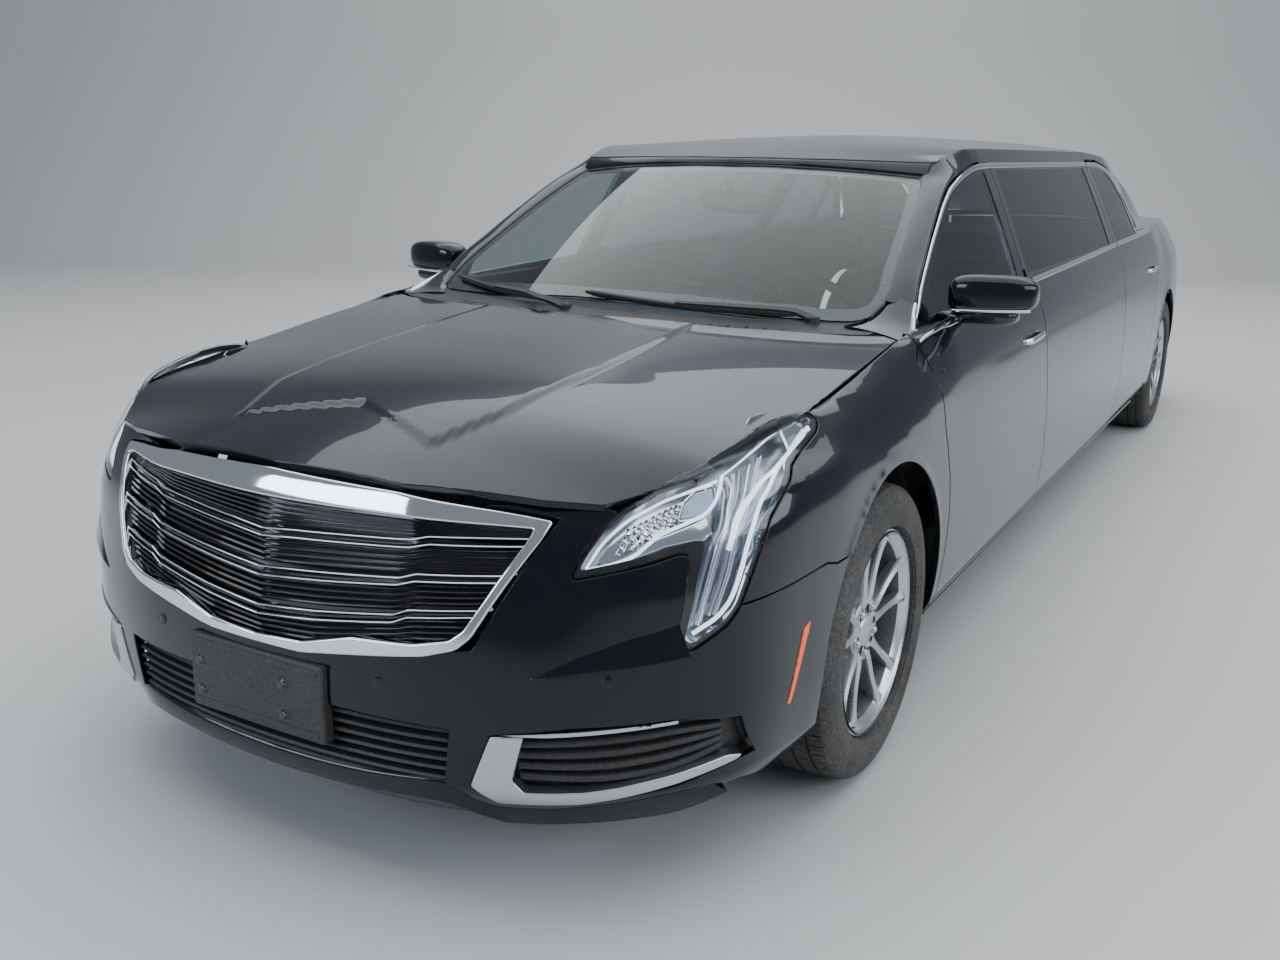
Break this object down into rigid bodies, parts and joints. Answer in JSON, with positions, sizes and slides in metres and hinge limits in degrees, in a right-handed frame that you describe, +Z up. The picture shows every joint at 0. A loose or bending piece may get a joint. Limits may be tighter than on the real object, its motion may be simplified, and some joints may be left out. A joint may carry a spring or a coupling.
{
  "type": "stretch limousine sedan",
  "caption": "Stretched limousine sedan with opening doors, hood and trunk lid, steering front wheels and a long fixed centre panel.",
  "frame": {"origin": "on the ground, under the middle of the length and width", "axes": "+Z up, the car faces -Y, +X is the car's left side"},
  "size_m": [2.09, 6.8035, 1.4897],
  "materials": {
    "paint": "gloss",
    "roof_paint": "gloss",
    "chrome": "polished",
    "satin": "satin",
    "wheel": "machined",
    "tyre": "matt",
    "plastic": "matt",
    "gloss_black": "gloss",
    "screen_glass": "clear",
    "dark_glass": "tinted",
    "lamp_glass": "clear",
    "tail_glass": "clear",
    "leather": "satin",
    "steel": "satin",
    "iron": "rough"
  },
  "bodies": {
    "shell": {"underbody": "steel", "bulkhead": "steel", "frame_rails": "steel", "boot_floor": "steel", "wheelhouses": "plastic", "front_fenders": "paint", "front_bumper": "paint", "grille_surround": "chrome", "grille_bars": "gloss_black", "lower_grilles": "plastic", "fog_bezels": "satin", "plate_bracket": "plastic", "headlamps": "lamp_glass", "cowl": "plastic", "a_pillars": "paint", "windshield": "screen_glass", "roof": "roof_paint", "centre_panels": "paint", "centre_glass": "dark_glass", "quarter_panels": "paint", "rear_window": "dark_glass", "rear_shelf": "plastic", "rear_bumper": "paint", "tail_lamps": "tail_glass", "dashboard": "plastic", "front_seats": "leather", "side_bench": "leather", "rear_bench": "leather", "engine_block": "iron", "exhaust": "steel", "front_suspension": "iron", "rear_axle": "iron", "door_hinges": "steel"},
    "hood": {"hood": "paint"},
    "trunk_lid": {"trunk_lid": "paint"},
    "front_door_left": {"front_door_left": "paint", "front_door_glass_left": "dark_glass"},
    "front_door_right": {"front_door_right": "paint", "front_door_glass_right": "dark_glass"},
    "rear_door_left": {"rear_door_left": "paint", "rear_door_glass_left": "dark_glass"},
    "rear_door_right": {"rear_door_right": "paint", "rear_door_glass_right": "dark_glass"},
    "steering_wheel": {"steering_wheel": "leather"},
    "knuckle_left": {"knuckle_left": "iron"},
    "knuckle_right": {"knuckle_right": "iron"},
    "wheel_front_left": {"rim_front_left": "wheel", "tyre_front_left": "tyre"},
    "wheel_front_right": {"rim_front_right": "wheel", "tyre_front_right": "tyre"},
    "wheel_rear_left": {"rim_rear_left": "wheel", "tyre_rear_left": "tyre"},
    "wheel_rear_right": {"rim_rear_right": "wheel", "tyre_rear_right": "tyre"}
  },
  "joints": [
    {"name": "hood_hinge", "type": "hinge", "parent": "shell", "child": "hood", "pos_m": [0, -2.01, 0.979], "axis": [-1, 0, 0], "range_deg": [0, 50]},
    {"name": "trunk_hinge", "type": "hinge", "parent": "shell", "child": "trunk_lid", "pos_m": [0, 2.543, 1.118], "axis": [1, 0, 0], "range_deg": [0, 60]},
    {"name": "front_door_left_hinge", "type": "hinge", "parent": "shell", "child": "front_door_left", "pos_m": [0.927, -2.008, 0.6], "axis": [0, 0, -1], "range_deg": [0, 68]},
    {"name": "front_door_right_hinge", "type": "hinge", "parent": "shell", "child": "front_door_right", "pos_m": [-0.927, -2.008, 0.6], "axis": [0, 0, 1], "range_deg": [0, 68]},
    {"name": "rear_door_left_hinge", "type": "hinge", "parent": "shell", "child": "rear_door_left", "pos_m": [0.927, 0.72, 0.6], "axis": [0, 0, -1], "range_deg": [0, 68]},
    {"name": "rear_door_right_hinge", "type": "hinge", "parent": "shell", "child": "rear_door_right", "pos_m": [-0.927, 0.72, 0.6], "axis": [0, 0, 1], "range_deg": [0, 68]},
    {"name": "steer_left", "type": "hinge", "parent": "shell", "child": "knuckle_left", "pos_m": [0.705, -2.36, 0.348], "axis": [0, 0, 1], "range_deg": [-30, 30]},
    {"name": "steer_right", "type": "hinge", "parent": "shell", "child": "knuckle_right", "pos_m": [-0.705, -2.36, 0.348], "axis": [0, 0, 1], "range_deg": [-30, 30]},
    {"name": "steering_column", "type": "hinge", "parent": "shell", "child": "steering_wheel", "pos_m": [0.372, -1.56, 0.905], "axis": [0, 0.9135, 0.4067], "range_deg": [-420, 420]},
    {"name": "wheel_front_left_spin", "type": "hinge", "parent": "knuckle_left", "child": "wheel_front_left", "pos_m": [0.79, -2.36, 0.348], "axis": [1, 0, 0], "continuous": true},
    {"name": "wheel_front_right_spin", "type": "hinge", "parent": "knuckle_right", "child": "wheel_front_right", "pos_m": [-0.79, -2.36, 0.348], "axis": [1, 0, 0], "continuous": true},
    {"name": "wheel_rear_left_spin", "type": "hinge", "parent": "shell", "child": "wheel_rear_left", "pos_m": [0.79, 2.13, 0.348], "axis": [1, 0, 0], "continuous": true},
    {"name": "wheel_rear_right_spin", "type": "hinge", "parent": "shell", "child": "wheel_rear_right", "pos_m": [-0.79, 2.13, 0.348], "axis": [1, 0, 0], "continuous": true}
  ],
  "couplings": [
    {"joint": "steer_right", "follows": "steer_left", "ratio": 1},
    {"joint": "steering_column", "follows": "steer_left", "ratio": 14}
  ]
}
